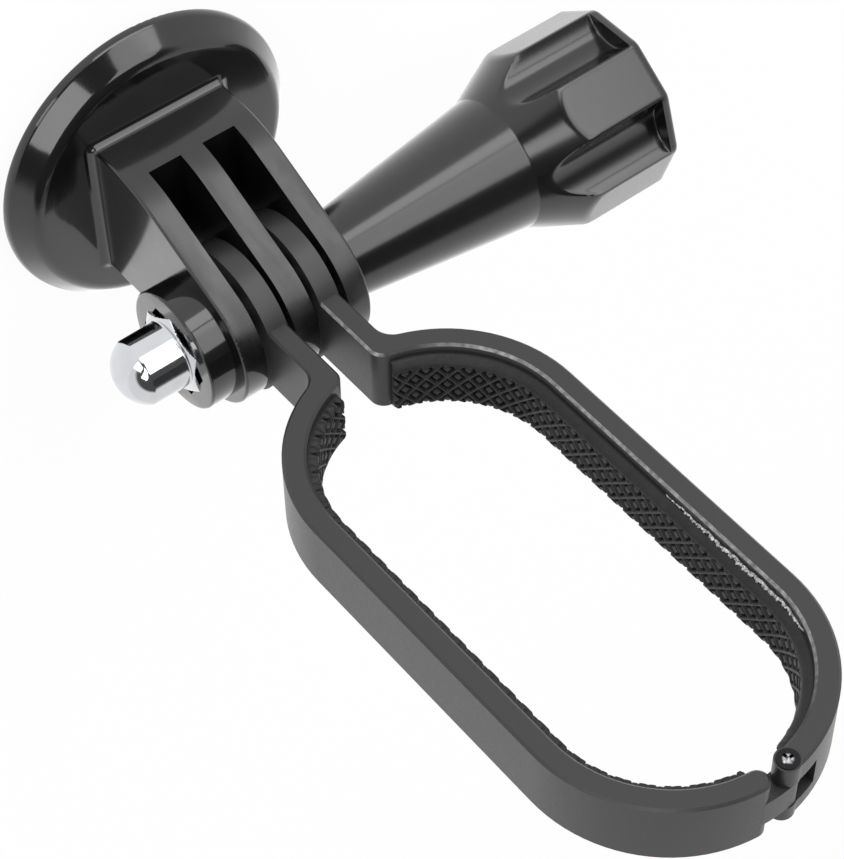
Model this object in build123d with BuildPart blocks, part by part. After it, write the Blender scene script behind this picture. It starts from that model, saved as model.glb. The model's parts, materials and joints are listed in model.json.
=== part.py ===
"""Ring clamp mount: an adhesive disc base with a three-prong fork, and a hinged oblong ring clamp
held in the fork by a thumb screw and a captive cap nut.  Millimetres.

Frame: origin on the disc axis at the underside of the adhesive pad, +Z up out of the disc,
+X along the clamp bolt from the cap nut towards the knob, +Y towards the fork's sloping front.
"""
from math import acos, atan2, cos, radians, sin, sqrt, tan
import os

from build123d import *

os.makedirs("parts", exist_ok=True)

# ---------------------------------------------------------------- named clearances
running_gap = 0.1          # radial room of the bolt in every bore it turns or slides in
seat_gap = 0.1             # knob seat to fork face, and between the hinge knuckles
screw_running_gap = 0.08   # hinge screw in the tongue that turns on it
nut_side_gap = 0.15        # hexagon of the nut in its pocket, each side

# ---------------------------------------------------------------- adhesive pad and disc
pad_radius = 15.3
pad_thickness = 0.8
disc_radius = 16.5
disc_foot_inset = 0.1      # the side leans out from its foot to the shoulder
disc_thickness = 3.4
disc_side_height = 0.8
rim_slope_width = 2.1
rim_fall = 0.15            # drop of the top face from its flat middle to the rim
flat_radius = 12.0         # of the top face's flat middle, which carries the fork
shoulder_round = 1.1
rim_round = 1.8
disc_edge_round = 0.3
root_round = 1.0

# ---------------------------------------------------------------- fork
fork_width = 15.0
slot_width = 3.75
centre_finger = 2.52
finger_radius = 7.5
fork_front_y = 7.6
fork_front_slope = 25.0    # degrees between the sloping front and the disc axis
front_knee_round = 15.0
waist_y = -8.15
waist_height = 6.0         # of the fork's narrow foot above the disc face
waist_round = 4.0
slot_floor_height = 5.85   # of the slot floors above the disc face
edge_round = 0.3

# ---------------------------------------------------------------- clamp bolt, cap nut and boss
bolt_axis_y = -5.04
bolt_axis_height = 16.2    # above the disc's top face
bolt_radius = 2.5
boss_radius = 6.4
boss_length = 3.15
boss_edge_round = 0.3
nut_flats = 8.0
nut_hex_height = 3.5
nut_chamfer_angle = 30.0
nut_collar_radius = 3.5
nut_collar_length = 4.0
nut_dome_height = 2.2
nut_dome_break = 0.2       # rounded edge between the collar and the dome
nut_floor = 3.05           # pocket depth from the boss face
nut_thread_depth = 7.4
bolt_tip_gap = 0.7         # bolt tip to the bottom of the nut's blind thread
thread_pitch = 0.8

# ---------------------------------------------------------------- knob
knob_seat_radius = 4.5
knob_neck_x = 29.0
knob_neck_radius = 7.22
knob_head_x = 34.8
knob_head_radius = 10.15
knob_end_x = 45.1
knob_end_round = 0.4
lobe_count = 5             # the head has a flat for each lobe and for each flute between them
flute_depth = 2.35
flange_thickness = 1.2     # closed end behind the flutes
stud_collar_radius = 4.0
stud_collar_length = 3.0
stud_end_x = 33.0

# ---------------------------------------------------------------- ring clamp
arm_height = 7.6           # along Y
ring_outer_radius = 14.92
ring_wall = 2.27
ring_near_centre = 28.19   # from the bolt axis to the centre of the ring's near bend
ring_centre_distance = 30.06
leg_inner_x = 1.93
leg_thickness = 2.26
leg_eye_radius = 7.7
leg_outer_round = 2.2
leg_inner_round = 1.5
arm_edge_chamfer = 0.25

# ---------------------------------------------------------------- far hinge
hinge_x = 1.25
knuckle_radius = 1.25
left_end_x = -0.95
tongue_slot_height = 3.4
tongue_slot_offset = -0.3  # slot centre below the arm's mid height
tongue_slot_end_x = 4.35
screw_radius = 0.8
screw_head_radius = 1.05
screw_head_proud = 0.12
screw_head_height = 0.75
recess_depth = 0.45
recess_width = 0.32
recess_length = 1.2

# ---------------------------------------------------------------- liners
liner_thickness = 1.15
liner_height = 6.2
liner_offset = -0.35       # liner centre below the arm's mid height
liner_near_x = 3.2
liner_right_far_x = 2.6
liner_left_far_x = 1.9

# ---------------------------------------------------------------- worked-out places
disc_face_z = pad_thickness + disc_thickness
bolt_axis_z = disc_face_z + bolt_axis_height
slot_floor_z = disc_face_z + slot_floor_height
fork_half = fork_width / 2
slot_centre_x = (centre_finger + slot_width) / 2
boss_face_x = -fork_half - boss_length
nut_seat_x = boss_face_x + nut_floor
nut_hex_end_x = nut_seat_x - nut_hex_height
nut_collar_end_x = nut_hex_end_x - nut_collar_length
nut_dome_sphere = (nut_collar_radius**2 + nut_dome_height**2) / (2 * nut_dome_height)
nut_thread_end_x = nut_seat_x - nut_thread_depth
bolt_tip_x = nut_thread_end_x + bolt_tip_gap
bore_radius = bolt_radius + running_gap
knob_seat_x = fork_half + seat_gap
ring_inner_radius = ring_outer_radius - ring_wall
ring_mid_radius = ring_outer_radius - ring_wall / 2
near_centre_z = bolt_axis_z + ring_near_centre
far_centre_z = near_centre_z + ring_centre_distance
ring_middle_z = (near_centre_z + far_centre_z) / 2
leg_outer_x = leg_inner_x + leg_thickness
hinge_z = far_centre_z + sqrt(ring_mid_radius**2 - hinge_x**2)
left_end_centre_x = left_end_x - ring_wall / 2
left_end_centre_z = far_centre_z + sqrt(ring_mid_radius**2 - left_end_centre_x**2)

bolt_axis = Axis((0, bolt_axis_y, bolt_axis_z), (1, 0, 0))
hinge_axis = Axis((hinge_x, bolt_axis_y, hinge_z), (0, 1, 0))


def cross_plane(x):
    """Plane across the bolt axis at this x: local x is +Y, local y is +Z, origin on the axis."""
    return Plane(origin=(x, bolt_axis_y, bolt_axis_z), x_dir=(0, 1, 0), z_dir=(1, 0, 0))


def ring_plane(offset=0.0):
    """Plane of the ring at this height above its middle: local x is +X, local y is +Z."""
    return Plane(origin=(0, bolt_axis_y + offset, 0), x_dir=(1, 0, 0), z_dir=(0, -1, 0))


def stadium(radius, mode=Mode.ADD):
    """Oblong of the ring: two half circles of this radius, joined by straight sides."""
    with Locations((0, ring_middle_z)):
        SlotCenterToCenter(ring_centre_distance, 2 * radius, rotation=90, mode=mode)


# ================================================================ adhesive pad
with BuildPart() as adhesive_pad:
    with BuildSketch():
        Circle(pad_radius)
    extrude(amount=pad_thickness)
adhesive_pad.part.label = "adhesive_pad"

# ================================================================ disc base with fork and nut boss
front_tangent = (finger_radius * cos(radians(fork_front_slope)),
                 finger_radius * sin(radians(fork_front_slope)))
front_reach = fork_front_y - bolt_axis_y
knee_height = (finger_radius - front_reach * cos(radians(fork_front_slope))) / sin(
    radians(fork_front_slope))
waist_reach = waist_y - bolt_axis_y
waist_drop = waist_height - bolt_axis_height
waist_turn = atan2(waist_drop, waist_reach) - acos(finger_radius / sqrt(waist_reach**2 + waist_drop**2))
back_tangent = (finger_radius * cos(waist_turn), finger_radius * sin(waist_turn))
foot = -bolt_axis_height - disc_thickness / 2

with BuildPart() as disc_base:
    # fork blank: a leaning foot that ends in a round about the bolt axis
    with BuildSketch(cross_plane(0)) as fork_profile:
        Polygon(
            (front_reach, foot),
            (front_reach, knee_height),
            front_tangent,
            back_tangent,
            (waist_reach, waist_drop),
            (waist_reach, foot),
            align=None,
        )
        Circle(finger_radius)
        knee = fork_profile.vertices().sort_by_distance((front_reach, knee_height, 0))[0]
        fillet(knee, front_knee_round)
        waist = fork_profile.vertices().sort_by_distance((waist_reach, waist_drop, 0))[0]
        fillet(waist, waist_round)
    extrude(amount=fork_half, both=True)
    fillet(disc_base.faces().filter_by(Axis.X).edges(), edge_round)

    # disc with a flat middle, falling slightly to a full rounded rim
    with BuildSketch(Plane.XZ) as disc_profile:
        with BuildLine():
            foot_corner = (disc_radius - disc_foot_inset, pad_thickness)
            shoulder = (disc_radius, pad_thickness + disc_side_height)
            crest = (disc_radius - rim_slope_width, disc_face_z - rim_fall)
            Polyline(
                (0, pad_thickness), foot_corner, shoulder, crest,
                (flat_radius, disc_face_z), (0, disc_face_z), close=True)
        make_face()
        lower_edge = disc_profile.vertices().sort_by_distance((*foot_corner, 0))[0]
        fillet(lower_edge, disc_edge_round)
        for corner, corner_round in ((shoulder, shoulder_round), (crest, rim_round)):
            sharp = disc_profile.vertices().sort_by_distance((*corner, 0))[0]
            fillet(sharp, corner_round)
    revolve(axis=Axis.Z)
    root_edges = (
        disc_base.edges()
        .filter_by_position(Axis.Z, disc_face_z - 0.01, disc_face_z + 0.01)
        .filter_by_position(Axis.X, -fork_half - 0.1, fork_half + 0.1)
    )
    fillet(root_edges, root_round)

    # two slots for the legs of the ring
    with BuildSketch(Plane.XZ):
        with Locations((-slot_centre_x, bolt_axis_z), (slot_centre_x, bolt_axis_z)):
            Rectangle(slot_width, 2 * (bolt_axis_z - slot_floor_z))
    extrude(amount=disc_radius, both=True, mode=Mode.SUBTRACT)

    # nut boss with its hexagonal pocket, corners up and down
    with BuildSketch(cross_plane(boss_face_x)) as boss_profile:
        Circle(boss_radius)
    extrude(amount=boss_length + edge_round)
    boss_face = disc_base.faces().filter_by(Axis.X).sort_by(Axis.X)[0]
    fillet(boss_face.edges(), boss_edge_round)
    with BuildSketch(cross_plane(boss_face_x)):
        RegularPolygon(nut_flats / 2 + nut_side_gap, 6, major_radius=False, rotation=30)
    extrude(amount=nut_floor, mode=Mode.SUBTRACT)

    # bolt bore through the boss and all three fingers
    with BuildSketch(cross_plane(0)):
        Circle(bore_radius)
    extrude(amount=fork_half + boss_length, both=True, mode=Mode.SUBTRACT)
disc_base.part.label = "disc_base"

# ================================================================ cap nut
with BuildPart() as cap_nut:
    with BuildSketch(cross_plane(nut_hex_end_x)):
        RegularPolygon(nut_flats / 2, 6, major_radius=False, rotation=30)
    extrude(amount=nut_hex_height)
    # turned chamfer over the corners of the hexagon
    corner_radius = nut_flats / 2 / cos(radians(30))
    chamfer_drop = (corner_radius - nut_flats / 2 * 0.97) * tan(radians(nut_chamfer_angle))
    with BuildSketch(ring_plane()):
        with BuildLine():
            Polyline(
                (nut_hex_end_x, bolt_axis_z),
                (nut_hex_end_x, bolt_axis_z + nut_flats / 2 * 0.97),
                (nut_hex_end_x + chamfer_drop, bolt_axis_z + corner_radius),
                (nut_seat_x, bolt_axis_z + corner_radius),
                (nut_seat_x, bolt_axis_z),
                close=True,
            )
        make_face()
    revolve(axis=bolt_axis, mode=Mode.INTERSECT)
    # collar under a low dome
    with BuildSketch(ring_plane()) as dome_profile:
        with BuildLine():
            collar_edge = (nut_collar_end_x, bolt_axis_z + nut_collar_radius)
            tip = (nut_collar_end_x - nut_dome_height, bolt_axis_z)
            RadiusArc(tip, collar_edge, nut_dome_sphere)
            Polyline(
                collar_edge,
                (nut_hex_end_x, bolt_axis_z + nut_collar_radius),
                (nut_hex_end_x, bolt_axis_z),
                tip,
            )
        make_face()
        fillet(dome_profile.vertices().sort_by_distance((*collar_edge, 0))[0], nut_dome_break)
    revolve(axis=bolt_axis)
    # blind thread, left smooth
    with BuildSketch(cross_plane(nut_thread_end_x)):
        Circle(bore_radius)
    extrude(amount=nut_thread_depth, mode=Mode.SUBTRACT)
cap_nut.part.label = "cap_nut"

# ================================================================ thumb bolt
with BuildPart() as thumb_bolt:
    with BuildSketch(cross_plane(bolt_tip_x)):
        Circle(bolt_radius)
    extrude(amount=stud_end_x - bolt_tip_x)
    chamfer(thumb_bolt.faces().sort_by(Axis.X)[0].edges(), thread_pitch / 2)
    with BuildSketch(cross_plane(stud_end_x - stud_collar_length)):
        Circle(stud_collar_radius)
    extrude(amount=stud_collar_length)
thumb_bolt.part.label = "thumb_bolt"

# ================================================================ thumb knob
flute_half_angle = 90 / lobe_count
flute_floor_radius = knob_head_radius - flute_depth
flute_edge_half_chord = knob_head_radius * sin(radians(flute_half_angle))
flute_edge_height = knob_head_radius * cos(radians(flute_half_angle)) - flute_floor_radius
flute_radius = (flute_edge_half_chord**2 + flute_edge_height**2) / (2 * flute_edge_height)
flute_centre_radius = flute_floor_radius + flute_radius

with BuildPart() as thumb_knob:
    # conical shank, flare and head
    with BuildSketch(ring_plane()):
        with BuildLine():
            Polyline(
                (knob_seat_x, bolt_axis_z),
                (knob_seat_x, bolt_axis_z + knob_seat_radius),
                (knob_neck_x, bolt_axis_z + knob_neck_radius),
                (knob_head_x, bolt_axis_z + knob_head_radius),
                (knob_end_x, bolt_axis_z + knob_head_radius),
                (knob_end_x, bolt_axis_z),
                close=True,
            )
        make_face()
    revolve(axis=bolt_axis)
    # flats round the head
    with BuildSketch(cross_plane(knob_seat_x)):
        RegularPolygon(knob_head_radius, 2 * lobe_count, rotation=flute_half_angle)
    extrude(amount=knob_end_x - knob_seat_x, mode=Mode.INTERSECT)
    fillet(thumb_knob.faces().sort_by(Axis.X)[-1].edges(), knob_end_round)
    # finger flutes that stop at a closed end
    with BuildSketch(cross_plane(knob_neck_x)):
        with PolarLocations(flute_centre_radius, lobe_count):
            Circle(flute_radius)
    extrude(amount=knob_end_x - flange_thickness - knob_neck_x, mode=Mode.SUBTRACT)
    # bore for the bolt, and the chamber that traps its collar
    with BuildSketch(cross_plane(knob_seat_x)):
        Circle(bore_radius)
    extrude(amount=stud_end_x + seat_gap - knob_seat_x, mode=Mode.SUBTRACT)
    with BuildSketch(cross_plane(stud_end_x - stud_collar_length - seat_gap)):
        Circle(stud_collar_radius + running_gap)
    extrude(amount=stud_collar_length + 2 * seat_gap, mode=Mode.SUBTRACT)
thumb_knob.part.label = "thumb_knob"

# ================================================================ ring arms
slot_top = tongue_slot_offset + tongue_slot_height / 2
slot_bottom = tongue_slot_offset - tongue_slot_height / 2
reach = 3 * ring_outer_radius      # longer than the ring, for the masks


def band_sketch(side, end_centre):
    """One arm seen along Y: its leg, and the ring's wall from the leg to the far end."""
    with BuildSketch(ring_plane()) as arm:
        stadium(ring_outer_radius)
        stadium(ring_inner_radius, Mode.SUBTRACT)
        end_ray = (2 * end_centre[0], 2 * end_centre[1] - far_centre_z)
        Polygon(
            (side * leg_inner_x, bolt_axis_z),
            (side * reach, bolt_axis_z),
            (side * reach, bolt_axis_z + 2 * reach),
            end_ray,
            (0, far_centre_z),
            (0, ring_middle_z),
            (side * leg_inner_x, ring_middle_z),
            align=None,
            mode=Mode.INTERSECT,
        )
        leg_top = near_centre_z - sqrt(ring_mid_radius**2 - leg_outer_x**2)
        with Locations((side * (leg_inner_x + leg_outer_x) / 2, (bolt_axis_z + leg_top) / 2)):
            Rectangle(leg_thickness, leg_top - bolt_axis_z)
        with Locations(end_centre):
            Circle(ring_wall / 2)
        outer_corner_z = near_centre_z - sqrt(ring_outer_radius**2 - leg_outer_x**2)
        outer_corner = (side * leg_outer_x, outer_corner_z, 0)
        fillet(arm.vertices().sort_by_distance(outer_corner)[0], leg_outer_round)
        inner_corner_z = near_centre_z - sqrt(ring_inner_radius**2 - leg_inner_x**2)
        inner_corner = (side * leg_inner_x, inner_corner_z, 0)
        fillet(arm.vertices().sort_by_distance(inner_corner)[0], leg_inner_round)
    return arm.sketch


def add_leg_eye(side):
    """Round eye of the leg about the bolt axis, bored for the bolt."""
    start = leg_inner_x if side > 0 else -leg_outer_x
    with BuildSketch(cross_plane(start)) as eye:
        Circle(leg_eye_radius)
    extrude(eye.sketch, amount=leg_thickness)
    with BuildSketch(cross_plane(start)) as eye_bore:
        Circle(bore_radius)
    extrude(eye_bore.sketch, amount=leg_thickness, mode=Mode.SUBTRACT)


with BuildPart() as clamp_arm_right:
    extrude(band_sketch(1, (hinge_x, hinge_z)), amount=arm_height / 2, both=True)
    flat_sides = clamp_arm_right.faces().filter_by(Axis.Y)
    chamfer(flat_sides.edges().sort_by(Axis.Z)[2:], arm_edge_chamfer)
    add_leg_eye(1)
    with BuildSketch(ring_plane()):
        with Locations((hinge_x, hinge_z)):
            Circle(knuckle_radius)
    extrude(amount=arm_height / 2, both=True)
    # slot between the two knuckles
    with BuildSketch(ring_plane(tongue_slot_offset)):
        with Locations(((tongue_slot_end_x - reach) / 2, hinge_z)):
            Rectangle(tongue_slot_end_x + reach, 4 * ring_wall)
    extrude(amount=tongue_slot_height / 2, both=True, mode=Mode.SUBTRACT)
    # screw hole, and the seat of the screw head in the upper knuckle
    with BuildSketch(ring_plane()):
        with Locations((hinge_x, hinge_z)):
            Circle(screw_radius)
    extrude(amount=arm_height / 2, both=True, mode=Mode.SUBTRACT)
    with BuildSketch(ring_plane(arm_height / 2 + screw_head_proud)):
        with Locations((hinge_x, hinge_z)):
            Circle(screw_head_radius)
    extrude(amount=screw_head_height, mode=Mode.SUBTRACT)
clamp_arm_right.part.label = "clamp_arm_right"

with BuildPart() as clamp_arm_left:
    left_end_centre = (left_end_centre_x, left_end_centre_z)
    extrude(band_sketch(-1, left_end_centre), amount=arm_height / 2, both=True)
    flat_sides = clamp_arm_left.faces().filter_by(Axis.Y)
    chamfer(flat_sides.edges().sort_by(Axis.Z)[2:], arm_edge_chamfer)
    add_leg_eye(-1)
    # tongue that reaches between the knuckles to the hinge screw
    with BuildSketch(ring_plane(tongue_slot_offset)):
        stadium(ring_outer_radius)
        stadium(ring_inner_radius, Mode.SUBTRACT)
        with Locations(((left_end_centre_x + hinge_x) / 2, hinge_z)):
            Rectangle(hinge_x - left_end_centre_x, 4 * ring_wall, mode=Mode.INTERSECT)
        with Locations((hinge_x, hinge_z)):
            Circle(ring_wall / 2)
    extrude(amount=tongue_slot_height / 2 - seat_gap, both=True)
    with BuildSketch(ring_plane()):
        with Locations((hinge_x, hinge_z)):
            Circle(screw_radius + screw_running_gap)
    extrude(amount=arm_height / 2, both=True, mode=Mode.SUBTRACT)
clamp_arm_left.part.label = "clamp_arm_left"

# ================================================================ hinge screw
with BuildPart() as hinge_screw:
    with BuildSketch(ring_plane(arm_height / 2 + screw_head_proud)):
        with Locations((hinge_x, hinge_z)):
            Circle(screw_head_radius)
    extrude(amount=screw_head_height)
    with BuildSketch(ring_plane(arm_height / 2)):
        with Locations((hinge_x, hinge_z)):
            Circle(screw_radius)
    extrude(amount=arm_height)
    with BuildSketch(ring_plane(arm_height / 2 + screw_head_proud)):
        with Locations((hinge_x, hinge_z)):
            Rectangle(recess_length, recess_width)
            Rectangle(recess_width, recess_length)
    extrude(amount=recess_depth, mode=Mode.SUBTRACT)
hinge_screw.part.label = "hinge_screw"


# ================================================================ rubber liners
def liner_sketch(side, far_x):
    """Strip along the inside of one arm, from just past its leg to just short of the hinge."""
    with BuildSketch(ring_plane(liner_offset)) as strip:
        stadium(ring_inner_radius)
        stadium(ring_inner_radius - liner_thickness, Mode.SUBTRACT)
        Polygon(
            (side * liner_near_x, bolt_axis_z),
            (side * reach, bolt_axis_z),
            (side * reach, bolt_axis_z + 2 * reach),
            (side * far_x, bolt_axis_z + 2 * reach),
            (side * far_x, ring_middle_z),
            (side * liner_near_x, ring_middle_z),
            align=None,
            mode=Mode.INTERSECT,
        )
    return strip.sketch


with BuildPart() as liner_right:
    extrude(liner_sketch(1, liner_right_far_x), amount=liner_height / 2, both=True)
liner_right.part.label = "liner_right"

with BuildPart() as liner_left:
    extrude(liner_sketch(-1, liner_left_far_x), amount=liner_height / 2, both=True)
liner_left.part.label = "liner_left"

# ================================================================ files
for piece in (adhesive_pad, disc_base, cap_nut, thumb_bolt, thumb_knob, clamp_arm_right,
              clamp_arm_left, hinge_screw, liner_right, liner_left):
    export_step(piece.part, f"parts/{piece.part.label}.step")
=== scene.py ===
"""Ring clamp mount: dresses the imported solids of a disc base, fork, thumb screw and hinged ring."""
import json
from math import asin, cos, pi, radians, sin, sqrt, tan

import bmesh
import bpy
from bpy.props import FloatProperty, FloatVectorProperty, IntProperty, PointerProperty
from mathutils import Matrix, Vector


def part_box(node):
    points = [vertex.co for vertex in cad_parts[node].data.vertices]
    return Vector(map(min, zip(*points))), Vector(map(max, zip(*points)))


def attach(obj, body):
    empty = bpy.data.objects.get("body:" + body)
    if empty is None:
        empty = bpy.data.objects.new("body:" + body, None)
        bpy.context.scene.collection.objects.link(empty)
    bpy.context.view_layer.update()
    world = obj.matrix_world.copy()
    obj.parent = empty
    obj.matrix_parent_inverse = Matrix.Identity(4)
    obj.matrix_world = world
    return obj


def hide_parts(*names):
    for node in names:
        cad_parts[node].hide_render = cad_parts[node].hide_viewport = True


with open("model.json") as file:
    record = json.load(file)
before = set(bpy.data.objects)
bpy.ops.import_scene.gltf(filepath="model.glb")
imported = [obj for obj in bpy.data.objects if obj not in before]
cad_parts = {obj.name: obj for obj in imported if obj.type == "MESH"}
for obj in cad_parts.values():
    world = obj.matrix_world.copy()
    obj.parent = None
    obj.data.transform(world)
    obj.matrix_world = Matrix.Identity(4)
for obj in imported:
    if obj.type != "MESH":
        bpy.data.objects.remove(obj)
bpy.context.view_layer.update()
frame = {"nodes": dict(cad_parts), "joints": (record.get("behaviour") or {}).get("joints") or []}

bl_info = {
    "name": "Ring clamp mount",
    "version": (1, 0, 0),
    "blender": (4, 5, 0),
    "location": "View3D > Sidebar > Ring Mount",
    "description": "Builds the looks of a hinged ring clamp on an adhesive fork base",
    "category": "Object",
}

MM = 0.001

# ------------------------------------------------------------------ places read from the frame
joint = {j["name"]: j for j in frame["joints"]}
BOLT_AXIS = Vector(joint["clamp_tilt"]["pos_m"])
HINGE = Vector(joint["clamp_hinge"]["pos_m"])
RING_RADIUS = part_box("clamp_arm_right")[1].x
LINER_LOW, LINER_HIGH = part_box("liner_right")
WALL_RADIUS = LINER_HIGH.x              # inner wall of the ring, where the liners are glued
KNOB_LOW, KNOB_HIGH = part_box("thumb_knob")
NUT_LOW, NUT_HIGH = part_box("cap_nut")

# ------------------------------------------------------------------ sizes that the frame doesn't give
FORK_HALF = 7.5 * MM                    # half the fork's width along the bolt
SLOT_FLOOR = 10.05 * MM                 # height of the fork's slot ends above the pad's underside
RING_STRAIGHT = 30.06 * MM              # between the centres of the ring's two round ends
LINER_THICKNESS = 1.15 * MM
LINER_EDGE_THICKNESS = 0.45 * MM        # on the thin side of the smooth margin
LINER_ENDS = {"right": (3.2 * MM, 2.6 * MM), "left": (3.2 * MM, 1.9 * MM)}    # x of the near and far ends
GLUE_SPAN = (BOLT_AXIS.z + 44.2 * MM, BOLT_AXIS.z + 63 * MM)        # heights between which the glue shows
LAMP_AIM = Vector((10, 0, 40)) * MM     # middle of the clamp
LAMP_DISTANCE = 0.8                     # of each lamp from there, in metres


# ------------------------------------------------------------------ sizes and colours to change
class RingMountSizes(bpy.types.PropertyGroup):
    """Sizes of the dressed pieces."""

    nut_flats: FloatProperty(
        name="Nut across flats", description="Width of the cap nut's hexagon", default=8 * MM, unit="LENGTH")
    nut_collar_radius: FloatProperty(
        name="Nut collar radius", description="Radius of the cap nut's collar and dome", default=3.5 * MM,
        unit="LENGTH")
    nut_dome_height: FloatProperty(
        name="Nut dome height", description="Height of the low dome over the collar", default=2.2 * MM,
        unit="LENGTH")
    nut_hex_height: FloatProperty(
        name="Nut hexagon height", description="Length of the hexagon along the bolt", default=3.5 * MM,
        unit="LENGTH")
    knob_seat_radius: FloatProperty(
        name="Knob seat radius", description="Radius of the shank against the fork", default=4.5 * MM,
        unit="LENGTH")
    knob_neck_radius: FloatProperty(
        name="Knob neck radius", description="Radius of the shank where the head flares out",
        default=7.22 * MM, unit="LENGTH")
    knob_shank_length: FloatProperty(
        name="Knob shank length", description="From the seat to the neck", default=21.4 * MM, unit="LENGTH")
    knob_flare_length: FloatProperty(
        name="Knob flare length", description="From the neck to the full head", default=5.8 * MM,
        unit="LENGTH")
    lobe_count: IntProperty(
        name="Knob lobes", description="Finger lobes round the head", default=5, min=3, max=9)
    flute_depth: FloatProperty(
        name="Flute depth", description="Depth of each finger flute below the head's corners",
        default=2.35 * MM, unit="LENGTH")
    flange_thickness: FloatProperty(
        name="Knob end thickness", description="Closed end behind the flutes", default=1.2 * MM,
        unit="LENGTH")
    ridge_pitch: FloatProperty(
        name="Ridge pitch", description="Distance of the liner's crossing ridges along the ring",
        default=2.2 * MM, unit="LENGTH")
    ridge_top: FloatProperty(
        name="Ridge top", description="Width of one ridge at its top", default=0.22 * MM, unit="LENGTH")
    ridge_flank: FloatProperty(
        name="Ridge flank", description="Width of the slope beside a ridge", default=0.2 * MM, unit="LENGTH")
    lozenge_width: FloatProperty(
        name="Lozenge width", description="Width of the raised lozenge in the middle of each pit, at its top",
        default=0.64 * MM, unit="LENGTH")
    pit_depth: FloatProperty(
        name="Pit depth", description="Depth of the pits between the ridges", default=0.6 * MM, unit="LENGTH")
    margin_width: FloatProperty(
        name="Liner margin", description="Width of the smooth margin along one edge of each liner",
        default=0.95 * MM, unit="LENGTH")


class RingMountColours(bpy.types.PropertyGroup):
    """Colours of the finishes."""

    gloss_black: FloatVectorProperty(
        name="Moulded black", description="Glossy plastic of the base and the knob",
        default=(0.0042, 0.0042, 0.0045), subtype="COLOR", min=0, max=1)
    anodised_black: FloatVectorProperty(
        name="Anodised black", description="Satin aluminium of the ring", default=(0.022, 0.022, 0.0225),
        subtype="COLOR", min=0, max=1)
    rubber_black: FloatVectorProperty(
        name="Rubber black", description="Knurled liners", default=(0.006, 0.006, 0.006), subtype="COLOR",
        min=0, max=1)
    chrome: FloatVectorProperty(
        name="Chrome", description="Plating of the cap nut", default=(0.48, 0.49, 0.505), subtype="COLOR",
        min=0, max=1)
    steel: FloatVectorProperty(
        name="Steel", description="Bolt and the screw's recess", default=(0.5, 0.5, 0.52), subtype="COLOR",
        min=0, max=1)
    foam: FloatVectorProperty(
        name="Pad foam", description="Adhesive pad", default=(0.1, 0.1, 0.105), subtype="COLOR", min=0,
        max=1)
    floor: FloatVectorProperty(
        name="Floor", description="Studio floor", default=(0.86, 0.86, 0.86), subtype="COLOR", min=0, max=1)


# ------------------------------------------------------------------ materials
# colour of the painted highlight on the right arm's inner bevel
BEVEL_HIGHLIGHT = (0.25, 0.25, 0.25)
BLACKENED = (0.02, 0.02, 0.02)
GLUE_WHITE = (0.3, 0.3, 0.3)


def shader(name):
    """A new node material; returns the material, its nodes, its links and its Principled shader."""
    mat = bpy.data.materials.new(name)
    mat.use_nodes = True
    nodes = mat.node_tree.nodes
    return mat, nodes, mat.node_tree.links, nodes["Principled BSDF"]


def grain(nodes, links, per_mm, detail=3.0, stretch=(1, 1, 1)):
    """Noise on Object coordinates, with its cells counted per millimetre."""
    place = nodes.new("ShaderNodeTexCoord")
    scale = nodes.new("ShaderNodeMapping")
    scale.inputs["Scale"].default_value = [s / MM for s in stretch]
    texture = nodes.new("ShaderNodeTexNoise")
    texture.inputs["Scale"].default_value = per_mm
    texture.inputs["Detail"].default_value = detail
    links.new(place.outputs["Object"], scale.inputs["Vector"])
    links.new(scale.outputs["Vector"], texture.inputs["Vector"])
    return texture.outputs["Fac"]


def spread(nodes, links, value, low, high):
    """Maps a 0 to 1 texture value to the range low to high."""
    remap = nodes.new("ShaderNodeMapRange")
    remap.inputs["From Min"].default_value = 0.3
    remap.inputs["From Max"].default_value = 0.7
    remap.inputs["To Min"].default_value = low
    remap.inputs["To Max"].default_value = high
    links.new(value, remap.inputs["Value"])
    return remap.outputs["Result"]


def roughen(nodes, links, bsdf, value, low, high):
    """Varies the roughness between low and high with a texture value."""
    links.new(spread(nodes, links, value, low, high), bsdf.inputs["Roughness"])


def emboss(nodes, links, bsdf, value, depth_mm, strength):
    """Bump from a texture value, with its depth in millimetres."""
    bump = nodes.new("ShaderNodeBump")
    bump.inputs["Distance"].default_value = depth_mm * MM
    bump.inputs["Strength"].default_value = strength
    links.new(value, bump.inputs["Height"])
    links.new(bump.outputs["Normal"], bsdf.inputs["Normal"])


def two_colours(nodes, links, bsdf, factor, first, second):
    """Base colour that goes from the first colour to the second as the factor goes from 0 to 1."""
    mix = nodes.new("ShaderNodeMix")
    mix.data_type = "RGBA"
    mix.inputs["A"].default_value = (*first, 1)
    mix.inputs["B"].default_value = (*second, 1)
    links.new(factor, mix.inputs["Factor"])
    links.new(mix.outputs["Result"], bsdf.inputs["Base Color"])


def tint(nodes, links, bsdf, value, colour, change):
    """Lets the base colour drift a little around one colour."""
    darker, lighter = [c * (1 - change) for c in colour], [c * (1 + change) for c in colour]
    two_colours(nodes, links, bsdf, spread(nodes, links, value, 0, 1), darker, lighter)


def place_and_facing(nodes, links):
    """X, Y and Z of the point on the object, and of the way that its surface faces."""
    place = nodes.new("ShaderNodeTexCoord")
    here, facing = nodes.new("ShaderNodeSeparateXYZ"), nodes.new("ShaderNodeSeparateXYZ")
    links.new(place.outputs["Object"], here.inputs[0])
    links.new(place.outputs["Normal"], facing.inputs[0])
    return here.outputs, facing.outputs


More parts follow.
